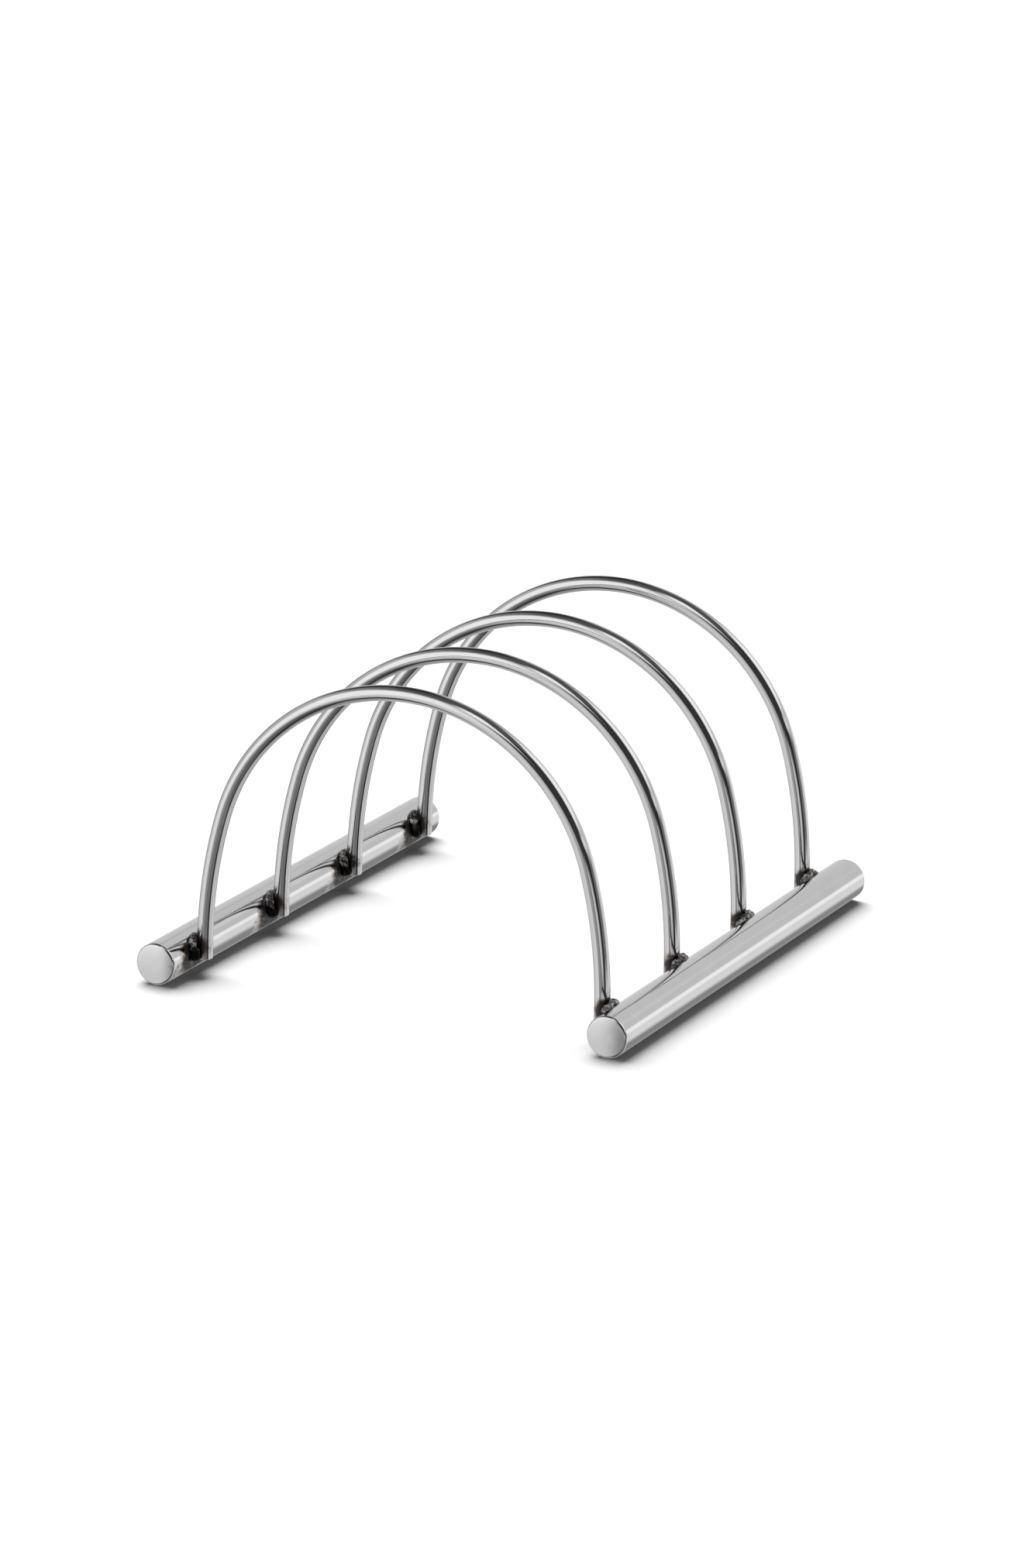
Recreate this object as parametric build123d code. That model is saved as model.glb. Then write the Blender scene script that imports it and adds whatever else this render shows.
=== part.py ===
from build123d import *
import math
import os

# Letter sorter: bent wire arches welded across two polished round bars.
# Millimetres, +Z up. The origin is on the desk, midway between the bars and midway along them.

# Base bars, lying front to back
BAR_DIAMETER = 12.7
BAR_EDGE_RADIUS = 0.8  # rounded rim of each end face
BAR_END_CROWN = 0.25  # how far the polished end face bulges at its middle
BAR_END_FLAT = 2.0  # diameter of the flat at the middle of that bulge
BAR_OVERHANG = 16.0  # from an outer arch to the end face of the bar

# Wire arches, standing across the bars
WIRE_DIAMETER = 4.76
CROWN_RADIUS = 61.2  # bend over the top, to the centre of the wire
SIDE_RADIUS = 150.0  # easier bend from the crown down to each leg
SIDE_ANGLE = 15.8  # turn of each side bend, in degrees
LEG_STRAIGHT = 4.0  # straight foot of each leg, below the side bend
WIRE_EDGE_RADIUS = 0.4  # rounding of the cut ends of the wire
ARCH_PITCH = 50.0  # from one arch to the next, which makes one letter slot

# Welded seats of the legs on the bars
LEG_DROP = 1.0  # from the height of the bar's axis down to the cut end of the leg
SEAT_DEPTH = 0.3  # how far the leg is hollowed to fit the round of the bar
WELD_RADIUS = 1.6  # bead that wraps the front, the top and the back of the seat
WELD_CROWN_RADIUS = 2.0  # heavier lump on top, where the bead was started
WELD_FROM_WIRE = 0.8  # from the wire's surface to the line the bead follows
WELD_FROM_BAR = 0.5  # from the bar's surface to that line
WELD_END_ANGLE = 2.0  # of the ends of the bead above the bar's axis, in degrees round the bar

ARCH_NAMES = ["front_arch", "front_divider_arch", "rear_divider_arch", "back_arch"]
SIDES = {"left": -1, "right": 1}

# Derived places
bar_radius = BAR_DIAMETER / 2
wire_radius = WIRE_DIAMETER / 2
half_turn = 180.0
bend_gap = SIDE_RADIUS - CROWN_RADIUS
leg_x = CROWN_RADIUS + bend_gap * (1 - math.cos(math.radians(SIDE_ANGLE)))
leg_bottom = bar_radius - LEG_DROP
side_bottom = leg_bottom + LEG_STRAIGHT
bar_x = leg_x + wire_radius + bar_radius - SEAT_DEPTH
rows_length = (len(ARCH_NAMES) - 1) * ARCH_PITCH
bar_length = rows_length + 2 * BAR_OVERHANG


def base_bar(side):
    """Solid round bar, turned with rounded rims and slightly crowned end faces."""
    half_length = bar_length / 2
    rim = half_length - BAR_END_CROWN
    flat = BAR_END_FLAT / 2
    front_flat = Line((0, -half_length), (flat, -half_length))
    front_end = TangentArc(front_flat @ 1, (bar_radius, -rim), tangent=front_flat % 1)
    back_flat = Line((0, half_length), (flat, half_length))
    back_end = TangentArc(back_flat @ 1, (bar_radius, rim), tangent=back_flat % 1)
    flank = Line(front_end @ 1, back_end @ 1)
    axis = Line(back_flat @ 0, front_flat @ 0)
    section = make_face([front_flat, front_end, flank, back_end, back_flat, axis])
    section = fillet(section.vertices().group_by(Axis.X)[-1], BAR_EDGE_RADIUS)
    return Pos(side * bar_x, 0, bar_radius) * revolve(section, Axis.Y)


def arch_wire():
    """Round wire bent in one plane: leg, side bend, crown, side bend, leg."""
    right_foot = Line((leg_x, leg_bottom), (leg_x, side_bottom))
    right_side = JernArc(right_foot @ 1, right_foot % 1, SIDE_RADIUS, SIDE_ANGLE)
    crown = JernArc(right_side @ 1, right_side % 1, CROWN_RADIUS, half_turn - 2 * SIDE_ANGLE)
    left_side = JernArc(crown @ 1, crown % 1, SIDE_RADIUS, SIDE_ANGLE)
    left_foot = Line(left_side @ 1, (-leg_x, leg_bottom))
    path = Plane.XZ * Wire([right_foot, right_side, crown, left_side, left_foot])
    section = Plane(origin=path @ 0, z_dir=path % 0) * Circle(wire_radius)
    wire = sweep(section, path=path)
    return fillet(wire.edges().group_by(Axis.Z)[0], WIRE_EDGE_RADIUS)


def weld_bead(side):
    """Horseshoe of weld metal round the leg in its groove with the bar, before it is fitted to them."""
    from_leg = wire_radius + WELD_FROM_WIRE
    from_bar = bar_radius + WELD_FROM_BAR
    top_angle = math.acos((bar_x - leg_x - from_leg) / from_bar)
    end_angle = math.radians(WELD_END_ANGLE)
    top = Vector(side * (leg_x + from_leg), 0, bar_radius + from_bar * math.sin(top_angle))
    end_x = bar_x - from_bar * math.cos(end_angle)
    end_y = math.sqrt(from_leg**2 - (end_x - leg_x) ** 2)
    end_z = bar_radius + from_bar * math.sin(end_angle)
    path = ThreePointArc((side * end_x, -end_y, end_z), top, (side * end_x, end_y, end_z))
    bead = sweep(Plane(origin=path @ 0, z_dir=path % 0) * Circle(WELD_RADIUS), path=path)
    tips = [Pos(path @ end) * Sphere(WELD_RADIUS) for end in (0, 1)]
    return bead + tips + Pos(top) * Sphere(WELD_CROWN_RADIUS)


bars = {side: base_bar(sign) for side, sign in SIDES.items()}
seated_arch = arch_wire() - list(bars.values())
seated_welds = {side: weld_bead(sign) - bars[side] - seated_arch for side, sign in SIDES.items()}

nodes = {f"{side}_base_bar": bar for side, bar in bars.items()}
for row, name in enumerate(ARCH_NAMES):
    place = Pos(0, row * ARCH_PITCH - rows_length / 2, 0)
    nodes[name] = place * seated_arch
    for side, weld in seated_welds.items():
        nodes[f"{name}_{side}_weld"] = place * weld

os.makedirs("parts", exist_ok=True)
for name, shape in nodes.items():
    export_step(shape, f"parts/{name}.step")
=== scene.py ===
import math
from collections import namedtuple

import bpy
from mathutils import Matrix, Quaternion, Vector, noise


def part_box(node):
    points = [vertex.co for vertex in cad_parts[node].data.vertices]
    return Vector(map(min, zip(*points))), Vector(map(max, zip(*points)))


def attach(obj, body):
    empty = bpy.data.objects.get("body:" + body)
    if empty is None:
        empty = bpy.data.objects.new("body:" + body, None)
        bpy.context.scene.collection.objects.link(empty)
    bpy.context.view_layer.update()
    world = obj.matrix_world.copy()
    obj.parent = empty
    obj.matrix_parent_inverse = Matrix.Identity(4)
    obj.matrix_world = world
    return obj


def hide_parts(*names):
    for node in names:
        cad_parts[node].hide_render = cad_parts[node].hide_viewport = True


# Letter sorter: looks of the polished bars, bent wires and welds, in metres, on a plain white floor.

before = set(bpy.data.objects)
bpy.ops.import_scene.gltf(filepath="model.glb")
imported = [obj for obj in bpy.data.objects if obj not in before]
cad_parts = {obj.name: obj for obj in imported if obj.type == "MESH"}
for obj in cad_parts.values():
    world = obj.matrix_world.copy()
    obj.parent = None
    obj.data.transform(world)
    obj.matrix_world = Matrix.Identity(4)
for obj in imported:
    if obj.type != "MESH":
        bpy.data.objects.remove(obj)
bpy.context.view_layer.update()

# Camera, as the photograph was taken
CAMERA_AZIMUTH = 24.66  # degrees to the right of straight ahead
CAMERA_ELEVATION = 15.77
CAMERA_ROLL = 1.19  # degrees
CAMERA_DISTANCE = 1.987
CAMERA_TARGET = Vector((0.0108, -0.0239, 0.0567))
PHOTO_HEIGHT = 2024  # pixels, the long side
FOCAL_LENGTH = 8644  # pixels
SENSOR = 36.0  # millimetres, along the long side

# Shading of the CAD nodes
SEAM_GAP = 1e-6  # points of two faces that meet on a seam are this close
SHARP_EDGE = 30.0  # degrees between faces, from which an edge stays sharp

# Floor and light, with angles in degrees
FLOOR_HALF = 6.0
FLOOR_WHITE = 0.9
FILL = 0.18  # even light on the floor from all round
BACKDROP = 1.0  # plain white that is seen behind the sorter
FLOOR_BOUNCE = 1.0  # diffuse depth of light that has met the floor
KEY_STRENGTH = 4.6
KEY_AZIMUTH = -138.0
KEY_ELEVATION = 56.0
KEY_SPREAD = 60.0  # from edge to edge, which softens the shadows

# Finishes, with lengths in millimetres
MM = 1000.0  # from metres
CHROME = (0.64, 0.64, 0.645)
CLOUDING = 0.05  # how far patches of the plating are duller or brighter
CLOUD_SIZE = 12.0
POLISH = (0.015, 0.06)  # roughness, from bright to wiped
WIPE_SIZE = 2.0
RIPPLE_DEPTH = 0.008
RIPPLE_SIZE = 3.0
WRINKLE_DEPTH = 0.4  # of the crumpled plating low on the bar, in front of each leg
WRINKLE_SIZE = 2.5
WRINKLE_AHEAD = 6.0  # middle of the wrinkles in front of the arch
WRINKLE_REACH = (7.0, 9.0)  # along the bar from there, where they start and end to fade
WRINKLE_TOP = (6.0, 8.0)  # above the floor, where they start and end to fade
WRINKLE_OUTSIDE = (2.0, 5.0)  # from the bar's inner side, where they start and end to fade
BAR_TINT_AND_SHADE_REACH = 12.0  # reach of the heat tint on the bar, whose black middle is partly painted shade
BAR_HEAT_RISE = -0.4  # middle of that tint above the bar's axis
WIRE_TINT_AND_SHADE_REACH = 8.8  # reach of the heat tint on the wire, whose black middle is partly painted shade
WIRE_HEAT_RISE = 3.0  # and its middle above the bar's axis
HEAT_STRETCH = 0.6  # a millimetre along the bar counts for less than one across it
HEAT_AHEAD = 2.0  # middle of the tint and its painted shade, in the corner in front of the arch
HEAT_SIZE = 1.7  # uneven edge of the tint
HEAT_UNEVEN = 3.0
HEAT_ROUGHNESS = 0.3
HEAT_BLACK_AND_SHADE = 0.34  # share of the reach, within which the metal is black and dull: burnt plating and painted shade in the corner of leg and bar
HEAT_PALE = 0.47  # and beyond which it is polished again
# Heat tint round each seat, from black to brown to pale; the black is burnt plating and painted shade
# in the corner where leg and bar meet.
HEAT_TINT_AND_SEAT_SHADE = [
    (HEAT_BLACK_AND_SHADE, (0.08, 0.07, 0.066)),
    (0.41, (0.36, 0.3, 0.27)),
    (HEAT_PALE, (0.78, 0.71, 0.66)),
    (0.54, (1.0, 1.0, 1.0)),
]
# Colours of weld metal from sooty to bare; the dark end also carries painted shade low in the seat.
WELD_SOOT_AND_SHADE = [
    (0.3, (0.012, 0.011, 0.011)),
    (0.65, (0.09, 0.085, 0.08)),
    (1.0, (0.42, 0.41, 0.405)),
]
SOOT_AND_SHADE_TOP = (7.5, 10.5)  # above the floor, where the soot and painted shade low on a weld start and end to clear
SOOT_SIZE = 0.6
SOOT_AND_SHADE_SHARE = (0.38, -0.35)  # added to the bareness of the metal, from clear to sooty and shaded
RUBBED = 0.5  # how much barer the lumps are than the hollows
WELD_ROUGHNESS = (0.5, 0.2)  # from sooty to bare
PITTING_DEPTH = 0.1
PITTING_SIZE = 0.25
RISE = "rise"  # attribute of a bead: how far each of its points stands out
COARSE, FINE = 2.0, 4.0  # detail of the noise

# Weld beads, in metres
BEAD_FACE = 0.0002  # edge of the small even faces of a bead
BEAD_SPREAD = 0.0001  # how far a bead flows on to the bar and the wire
LUMP_SIZE = 0.0014
LUMP_HEIGHT = 0.00045
GRAIN_SIZE = 0.00045
GRAIN_HEIGHT = 0.0001
BEAD_RIPPLES = 22  # in a full turn round the middle of the bead
BEAD_RIPPLE_HEIGHT = 0.00004

# Studio mirrored by the polish: light by elevation, then panels laid over it, with angles in degrees.
# Azimuth 0 is straight in front of the sorter and 90 to its right.
DOME = [(-90, 0.3), (-60, 0.75), (-20, 0.95), (0, 0.9), (30, 0.75), (50, 0.32), (65, 0.13), (90, 0.13)]
Panel = namedtuple("Panel", "azimuth half_width elevation half_height side_edge level_edge light")
PANELS = {
    "left_wall": Panel(-105, 45, 12, 26, 14, 14, 0.8),
    "left_gap": Panel(-116, 12, 2, 22, 10, 12, 0.45),
    "rear_wall": Panel(180, 42, 12, 24, 12, 12, 0.94),
    "rear_floor": Panel(-179, 24, -30, 12, 28, 20, 0.38),
    "rear_left_shade": Panel(-133, 27, 50, 23, 14, 12, 0.05),
    "rear_right_floor": Panel(150, 16, -12, 10, 12, 10, 1.2),
    "rear_right_strip": Panel(151, 7, 1, 5, 6, 5, 1.55),
    "left_floor": Panel(-54, 32, -20, 18, 20, 12, 1.08),
    "front_left_sheet": Panel(-38, 25, 14, 27, 16, 20, 1.55),
    "front_gap": Panel(3, 24, -30, 22, 12, 24, 0.44),
    "far_floor": Panel(34, 26, -16, 19, 14, 10, 0.28),
    "front_floor": Panel(20, 42, -54, 20, 20, 14, 0.2),
    "front_card": Panel(33, 12, -7, 7, 8, 5, 0.95),
    "near_floor": Panel(20, 50, -70, 11, 16, 8, 0.05),
    "near_left_floor": Panel(-38, 26, -56, 10, 20, 12, 0.07),
    "camera_side": Panel(40, 44, 29, 29, 12, 10, 0.06),
    "overhead_box": Panel(4, 13, 50, 18, 18, 14, 1.6),
    "right_box": Panel(122, 34, 41, 19, 28, 10, 1.6),
    "right_low_wall": Panel(92, 18, 0, 11, 12, 6, 0.25),
    "right_strip": Panel(92, 20, 17, 3, 16, 4, 1.2),
    "right_gap": Panel(65, 11, -26, 38, 10, 8, 0.03),
}

HALF_TURN = 180.0
LEVEL = 0.5  # place of the horizon on the run from straight down to straight up

# Sockets of a Mix node, whose names repeat for each kind of value
MIX_FACTOR = 0
MIX_NUMBERS = (2, 3)
MIX_COLOURS = (6, 7)
MIXED_NUMBER = 0
MIXED_COLOUR = 2

ARCHES = [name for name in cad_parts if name.endswith("_arch")]
BARS = [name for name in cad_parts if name.endswith("_base_bar")]
WELDS = [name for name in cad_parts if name.endswith("_weld")]


def put(tree, socket, value):
    """Links a node's output to the socket, or sets a plain value on it."""
    if isinstance(value, bpy.types.NodeSocket):
        tree.links.new(value, socket)
    else:
        socket.default_value = value


def math_node(tree, operation, *values):
    """One sum on plain values or sockets."""
    node = tree.nodes.new("ShaderNodeMath")
    node.operation = operation
    for socket, value in zip(node.inputs, values):
        put(tree, socket, value)
    return node.outputs[0]


def fade_out(tree, value, start, end):
    """1 below start and 0 above end, with a smooth step between them."""
    node = tree.nodes.new("ShaderNodeMapRange")
    node.interpolation_type = "SMOOTHSTEP"
    put(tree, node.inputs["Value"], value)
    node.inputs["From Min"].default_value = start
    node.inputs["From Max"].default_value = end
    node.inputs["To Min"].default_value = 1.0
    node.inputs["To Max"].default_value = 0.0
    return node.outputs["Result"]


def mix_values(tree, factor, low, high):
    """A number that goes from low to high with the factor."""
    node = tree.nodes.new("ShaderNodeMix")
    node.data_type = "FLOAT"
    put(tree, node.inputs[MIX_FACTOR], factor)
    for socket, value in zip(MIX_NUMBERS, (low, high)):
        put(tree, node.inputs[socket], value)
    return node.outputs[MIXED_NUMBER]


def panel_mask(tree, azimuth, elevation, panel):
    """1 inside a panel of the studio and 0 outside it."""
    turn = math_node(tree, "SUBTRACT", azimuth, math.radians(panel.azimuth))
    turn = math_node(tree, "WRAP", turn, math.pi, -math.pi)
    rise = math_node(tree, "SUBTRACT", elevation, math.radians(panel.elevation))
    masks = []
    for offset, half, edge in [
        (turn, panel.half_width, panel.side_edge),
        (rise, panel.half_height, panel.level_edge),
    ]:
        away = math_node(tree, "ABSOLUTE", offset)
        masks.append(fade_out(tree, away, math.radians(half - edge / 2), math.radians(half + edge / 2)))
    return math_node(tree, "MULTIPLY", *masks)


def studio():
    """World: soft panels for the polish to mirror, an even fill for the floor, plain white behind."""
    world = bpy.data.worlds.new("studio")
    bpy.context.scene.world = world
    world.use_nodes = True
    tree = world.node_tree
    tree.nodes.clear()
    way = tree.nodes.new("ShaderNodeSeparateXYZ")
    tree.links.new(tree.nodes.new("ShaderNodeTexCoord").outputs["Generated"], way.inputs[0])
    forward = math_node(tree, "MULTIPLY", way.outputs["Y"], -1.0)
    azimuth = math_node(tree, "ARCTAN2", way.outputs["X"], forward)
    elevation = math_node(tree, "ARCSINE", way.outputs["Z"])
    stops = [(level / HALF_TURN + LEVEL, (light, light, light)) for level, light in DOME]
    light = ramp(tree, math_node(tree, "MULTIPLY_ADD", elevation, 1 / math.pi, LEVEL), stops)
    for panel in PANELS.values():
        light = mix_values(tree, panel_mask(tree, azimuth, elevation, panel), light, panel.light)
    path = tree.nodes.new("ShaderNodeLightPath")
    not_from_floor = math_node(tree, "LESS_THAN", path.outputs["Diffuse Depth"], FLOOR_BOUNCE)
    mirrored = math_node(tree, "MULTIPLY", path.outputs["Is Glossy Ray"], not_from_floor)
    seen = mix_values(tree, mirrored, FILL, light)
    seen = mix_values(tree, path.outputs["Is Camera Ray"], seen, BACKDROP)
    background = tree.nodes.new("ShaderNodeBackground")
    tree.links.new(seen, background.inputs["Strength"])
    output = tree.nodes.new("ShaderNodeOutputWorld")
    tree.links.new(background.outputs[0], output.inputs["Surface"])


def direction(azimuth, elevation):
    """Unit vector towards a place in the studio, from degrees."""
    turn, rise = math.radians(azimuth), math.radians(elevation)
    return Vector((math.sin(turn) * math.cos(rise), -math.cos(turn) * math.cos(rise), math.sin(rise)))


def key_light():
    """Broad soft light from behind the left shoulder of the sorter."""
    data = bpy.data.lights.new("key", "SUN")
    data.energy = KEY_STRENGTH
    data.angle = math.radians(KEY_SPREAD)
    key = bpy.data.objects.new("key", data)
    key.rotation_mode = "QUATERNION"
    key.rotation_quaternion = direction(KEY_AZIMUTH, KEY_ELEVATION).to_track_quat("Z", "Y")
    key.visible_glossy = False
    bpy.context.collection.objects.link(key)


def camera():
    """Long lens from the front right, a little above."""
    data = bpy.data.cameras.new("camera")
    data.sensor_width = SENSOR
    data.lens = FOCAL_LENGTH / PHOTO_HEIGHT * SENSOR
    data.clip_end = 2 * FLOOR_HALF
    back = direction(CAMERA_AZIMUTH, CAMERA_ELEVATION)
    made = bpy.data.objects.new("camera", data)
    made.location = CAMERA_TARGET + CAMERA_DISTANCE * back
    made.rotation_mode = "QUATERNION"
    roll = Quaternion((0, 0, 1), math.radians(CAMERA_ROLL))
    made.rotation_quaternion = back.to_track_quat("Z", "Y") @ roll
    bpy.context.collection.objects.link(made)
    bpy.context.scene.camera = made


def floor():
    """Plain white floor. The polish mirrors the studio's own lower half in its place."""
    mesh = bpy.data.meshes.new("floor")
    corners = [(-1, -1), (1, -1), (1, 1), (-1, 1)]
    mesh.from_pydata([(x * FLOOR_HALF, y * FLOOR_HALF, 0) for x, y in corners], [], [(0, 1, 2, 3)])
    made = bpy.data.objects.new("floor", mesh)
    made.visible_glossy = False
    bpy.context.collection.objects.link(made)
    material = bpy.data.materials.new("white_floor")
    material.use_nodes = True
    shader = material.node_tree.nodes["Principled BSDF"]
    shader.inputs["Base Color"].default_value = (FLOOR_WHITE, FLOOR_WHITE, FLOOR_WHITE, 1)
    shader.inputs["Roughness"].default_value = 1.0
    shader.inputs["Specular IOR Level"].default_value = 0.0
    mesh.materials.append(material)


def metal(name):
    """New metal material: its tree, shader and texture place in millimetres."""
    material = bpy.data.materials.new(name)
    material.use_nodes = True
    tree = material.node_tree
    shader = tree.nodes["Principled BSDF"]
    shader.inputs["Metallic"].default_value = 1.0
    place = tree.nodes.new("ShaderNodeMapping")
    place.inputs["Scale"].default_value = (MM, MM, MM)
    tree.links.new(tree.nodes.new("ShaderNodeTexCoord").outputs["Object"], place.inputs["Vector"])
    return material, tree, shader, place.outputs["Vector"]


def cloud(tree, place, size, detail):
    """Noise with lumps of the given size in millimetres."""
    node = tree.nodes.new("ShaderNodeTexNoise")
    tree.links.new(place, node.inputs["Vector"])
    node.inputs["Scale"].default_value = 1 / size
    node.inputs["Detail"].default_value = detail
    return node.outputs["Fac"]


def facets(tree, place, size):
    """Creased heights with flat facets of the given size in millimetres."""
    node = tree.nodes.new("ShaderNodeTexVoronoi")
    node.distance = "MANHATTAN"
    tree.links.new(place, node.inputs["Vector"])
    node.inputs["Scale"].default_value = 1 / size
    return node.outputs["Distance"]


def ramp(tree, value, stops):
    """Colour that runs through the stops, each a position and a colour."""
    node = tree.nodes.new("ShaderNodeValToRGB")
    put(tree, node.inputs[0], value)
    elements = node.color_ramp.elements
    while len(elements) < len(stops):
        elements.new(1.0)
    for element, (position, colour) in zip(elements, stops):
        element.position = position
        element.color = (*colour, 1)
    return node.outputs["Color"]


def axes(tree, place):
    """The three coordinates of a place: right, back and up."""
    split = tree.nodes.new("ShaderNodeSeparateXYZ")
    tree.links.new(place, split.inputs[0])
    return split.outputs[0], split.outputs[1], split.outputs[2]


def from_bar(tree, place):
    """Millimetres outward from the inner side of the nearest bar."""
    inner_side = min(corner[0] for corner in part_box("right_base_bar")) * MM
    sideways = math_node(tree, "ABSOLUTE", axes(tree, place)[0])
    return math_node(tree, "SUBTRACT", sideways, inner_side)


def along_bar(tree, place, ahead):
    """Millimetres along the bar from a line that far ahead of the nearest arch."""
    low, high = (corner[1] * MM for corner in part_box("front_arch_right_weld"))
    half_pitch = (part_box("front_divider_arch_right_weld")[0][1] * MM - low) / 2
    away = math_node(tree, "SUBTRACT", axes(tree, place)[1], (low + high) / 2 - ahead)
    return math_node(tree, "ABSOLUTE", math_node(tree, "WRAP", away, half_pitch, -half_pitch))


def from_seat(tree, place, seat_rise):
    """Uneven millimetres from the nearest seat of a leg, at a rise above the bar's axis."""
    low, high = (corner[2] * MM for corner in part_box("right_base_bar"))
    along = math_node(tree, "MULTIPLY", along_bar(tree, place, HEAT_AHEAD), HEAT_STRETCH)
    rise = math_node(tree, "SUBTRACT", axes(tree, place)[2], (low + high) / 2 + seat_rise)
    squares = [math_node(tree, "MULTIPLY", side, side) for side in (from_bar(tree, place), along, rise)]
    total = math_node(tree, "ADD", math_node(tree, "ADD", squares[0], squares[1]), squares[2])
    uneven = cloud(tree, place, HEAT_SIZE, FINE)
    uneven = math_node(tree, "MULTIPLY_ADD", uneven, HEAT_UNEVEN, -HEAT_UNEVEN / 2)
    return math_node(tree, "ADD", math_node(tree, "SQRT", total), uneven)


def stained(tree, colour, stain):
    """Colour multiplied by a stain."""
    node = tree.nodes.new("ShaderNodeMix")
    node.data_type = "RGBA"
    node.blend_type = "MULTIPLY"
    node.inputs[MIX_FACTOR].default_value = 1.0
    for socket, value in zip(MIX_COLOURS, (colour, stain)):
        tree.links.new(value, node.inputs[socket])
    return node.outputs[MIXED_COLOUR]


def relief(tree, shader, texture, depth, strength=1.0):
    """Bump from a texture times a depth in millimetres, over any bump that the surface has."""
    bump = tree.nodes.new("ShaderNodeBump")
    bump.inputs["Distance"].default_value = 1 / MM
    put(tree, bump.inputs["Strength"], strength)
    tree.links.new(math_node(tree, "MULTIPLY", texture, depth), bump.inputs["Height"])
    for link in shader.inputs["Normal"].links:
        tree.links.new(link.from_socket, bump.inputs["Normal"])
    tree.links.new(bump.outputs["Normal"], shader.inputs["Normal"])


def chrome(name, heat, heat_rise, wrinkled):
    """Bright plating, faintly clouded and rippled, tinted and wrinkled by the heat of the welds, with
    painted shade in the black of the tint where each leg meets the bar.
    """
    material, tree, shader, place = metal(name)
    distance = from_seat(tree, place, heat_rise)
    dull = [c * (1 - CLOUDING) for c in CHROME]
    bright = [c * (1 + CLOUDING) for c in CHROME]
    colour = ramp(tree, cloud(tree, place, CLOUD_SIZE, FINE), [(0.0, dull), (1.0, bright)])
    relief(tree, shader, cloud(tree, place, RIPPLE_SIZE, COARSE), RIPPLE_DEPTH)
    if wrinkled:
        near = fade_out(tree, along_bar(tree, place, WRINKLE_AHEAD), *WRINKLE_REACH)
        low = fade_out(tree, axes(tree, place)[2], *WRINKLE_TOP)
        inside = fade_out(tree, from_bar(tree, place), *WRINKLE_OUTSIDE)
        share = math_node(tree, "MULTIPLY", math_node(tree, "MULTIPLY", near, low), inside)
        relief(tree, shader, facets(tree, place, WRINKLE_SIZE), WRINKLE_DEPTH, share)
    # heat tint, with painted shade black in the corner of leg and bar
    tint_and_shade = ramp(tree, math_node(tree, "DIVIDE", distance, heat), HEAT_TINT_AND_SEAT_SHADE)
    tree.links.new(stained(tree, colour, tint_and_shade), shader.inputs["Base Color"])
    wipe = mix_values(tree, cloud(tree, place, WIPE_SIZE, FINE), *POLISH)
    burnt = fade_out(tree, distance, HEAT_BLACK_AND_SHADE * heat, HEAT_PALE * heat)
    tree.links.new(mix_values(tree, burnt, wipe, HEAT_ROUGHNESS), shader.inputs["Roughness"])
    return material


def weld_metal(name):
    """Burnt weld metal: black low in the seat from soot and painted shade, rubbed to bare steel on the
    lumps of its top.
    """
    material, tree, shader, place = metal(name)
    rise = tree.nodes.new("ShaderNodeAttribute")
    rise.attribute_name = RISE
    mottle = cloud(tree, place, SOOT_SIZE, FINE)
    bare = math_node(tree, "MULTIPLY_ADD", rise.outputs["Fac"], RUBBED, mottle)
    # darker low in the seat, between leg and bar: soot and painted shade
    sooty_and_shaded = fade_out(tree, axes(tree, place)[2], *SOOT_AND_SHADE_TOP)
    bare = math_node(tree, "ADD", bare, mix_values(tree, sooty_and_shaded, *SOOT_AND_SHADE_SHARE))
    tree.links.new(ramp(tree, bare, WELD_SOOT_AND_SHADE), shader.inputs["Base Color"])
    tree.links.new(mix_values(tree, bare, *WELD_ROUGHNESS), shader.inputs["Roughness"])
    relief(tree, shader, cloud(tree, place, PITTING_SIZE, FINE), PITTING_DEPTH)
    return material


def even_mesh(node):
    """Copy of a CAD node's mesh, remade with small even faces."""
    copy = bpy.data.objects.new(node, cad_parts[node].data.copy())
    bpy.context.collection.objects.link(copy)
    remesh = copy.modifiers.new("even_faces", "REMESH")
    remesh.mode = "VOXEL"
    remesh.voxel_size = BEAD_FACE
    graph = bpy.context.evaluated_depsgraph_get()
    mesh = bpy.data.meshes.new_from_object(copy.evaluated_get(graph))
    bpy.data.objects.remove(copy)
    return mesh


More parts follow.
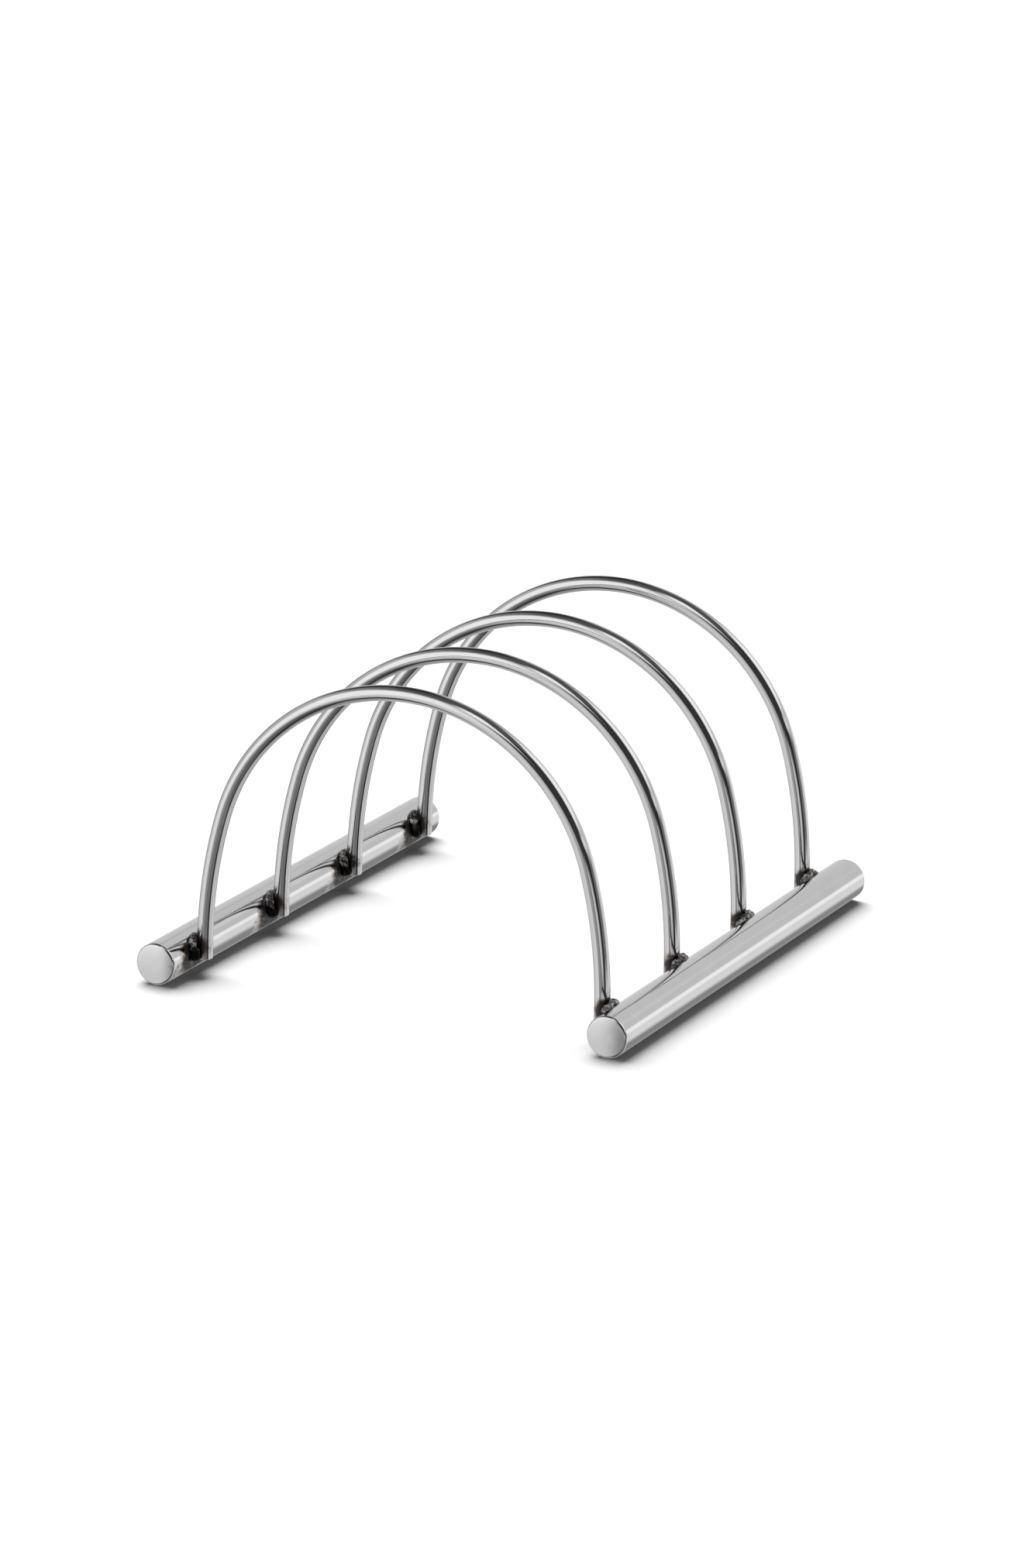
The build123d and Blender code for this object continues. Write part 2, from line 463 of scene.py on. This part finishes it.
def weld_bead(node, material):
    """Bead with the lumps, ripples and grain of weld metal, in the place of the smooth CAD one."""
    mesh = even_mesh(node)
    low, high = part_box(node)
    middle = (Vector(low) + Vector(high)) / 2
    rise = mesh.attributes.new(RISE, "FLOAT", "POINT")
    normals = [normal.vector.copy() for normal in mesh.vertex_normals]
    for vertex, normal, level in zip(mesh.vertices, normals, rise.data):
        place = vertex.co.copy()
        turn = math.atan2(place.y - middle.y, place.z - middle.z)
        lump = noise.noise(place / LUMP_SIZE)
        grain = noise.noise(place / GRAIN_SIZE)
        ripple = math.sin(BEAD_RIPPLES * turn)
        bulge = LUMP_HEIGHT * lump + GRAIN_HEIGHT * grain + BEAD_RIPPLE_HEIGHT * ripple
        vertex.co = place + (BEAD_SPREAD + bulge) * normal
        level.value = bulge / LUMP_HEIGHT
    mesh.materials.clear()
    mesh.materials.append(material)
    mesh.shade_smooth()
    piece = bpy.data.objects.new(f"{node}_bead", mesh)
    bpy.context.collection.objects.link(piece)
    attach(piece, "root")
    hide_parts(node)


def dress(names, material):
    """Gives CAD nodes their finish."""
    for name in names:
        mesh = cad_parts[name].data
        mesh.materials.clear()
        mesh.materials.append(material)


def smooth(names):
    """Shades CAD nodes evenly across their seams, with the sharp edges left sharp."""
    for name in names:
        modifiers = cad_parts[name].modifiers
        modifiers.new("joined_seams", "WELD").merge_threshold = SEAM_GAP
        modifiers.new("sharp_edges", "EDGE_SPLIT").split_angle = math.radians(SHARP_EDGE)
        modifiers.new("even_normals", "WEIGHTED_NORMAL").mode = "FACE_AREA_WITH_ANGLE"


dress(BARS, chrome("polished_bar", BAR_TINT_AND_SHADE_REACH, BAR_HEAT_RISE, wrinkled=True))
dress(ARCHES, chrome("polished_wire", WIRE_TINT_AND_SHADE_REACH, WIRE_HEAT_RISE, wrinkled=False))
burnt_metal = weld_metal("weld_metal")
dress(WELDS, burnt_metal)
smooth(BARS + ARCHES)
for weld in WELDS:
    weld_bead(weld, burnt_metal)

floor()
studio()
key_light()
camera()
bpy.context.scene.view_settings.view_transform = "Standard"
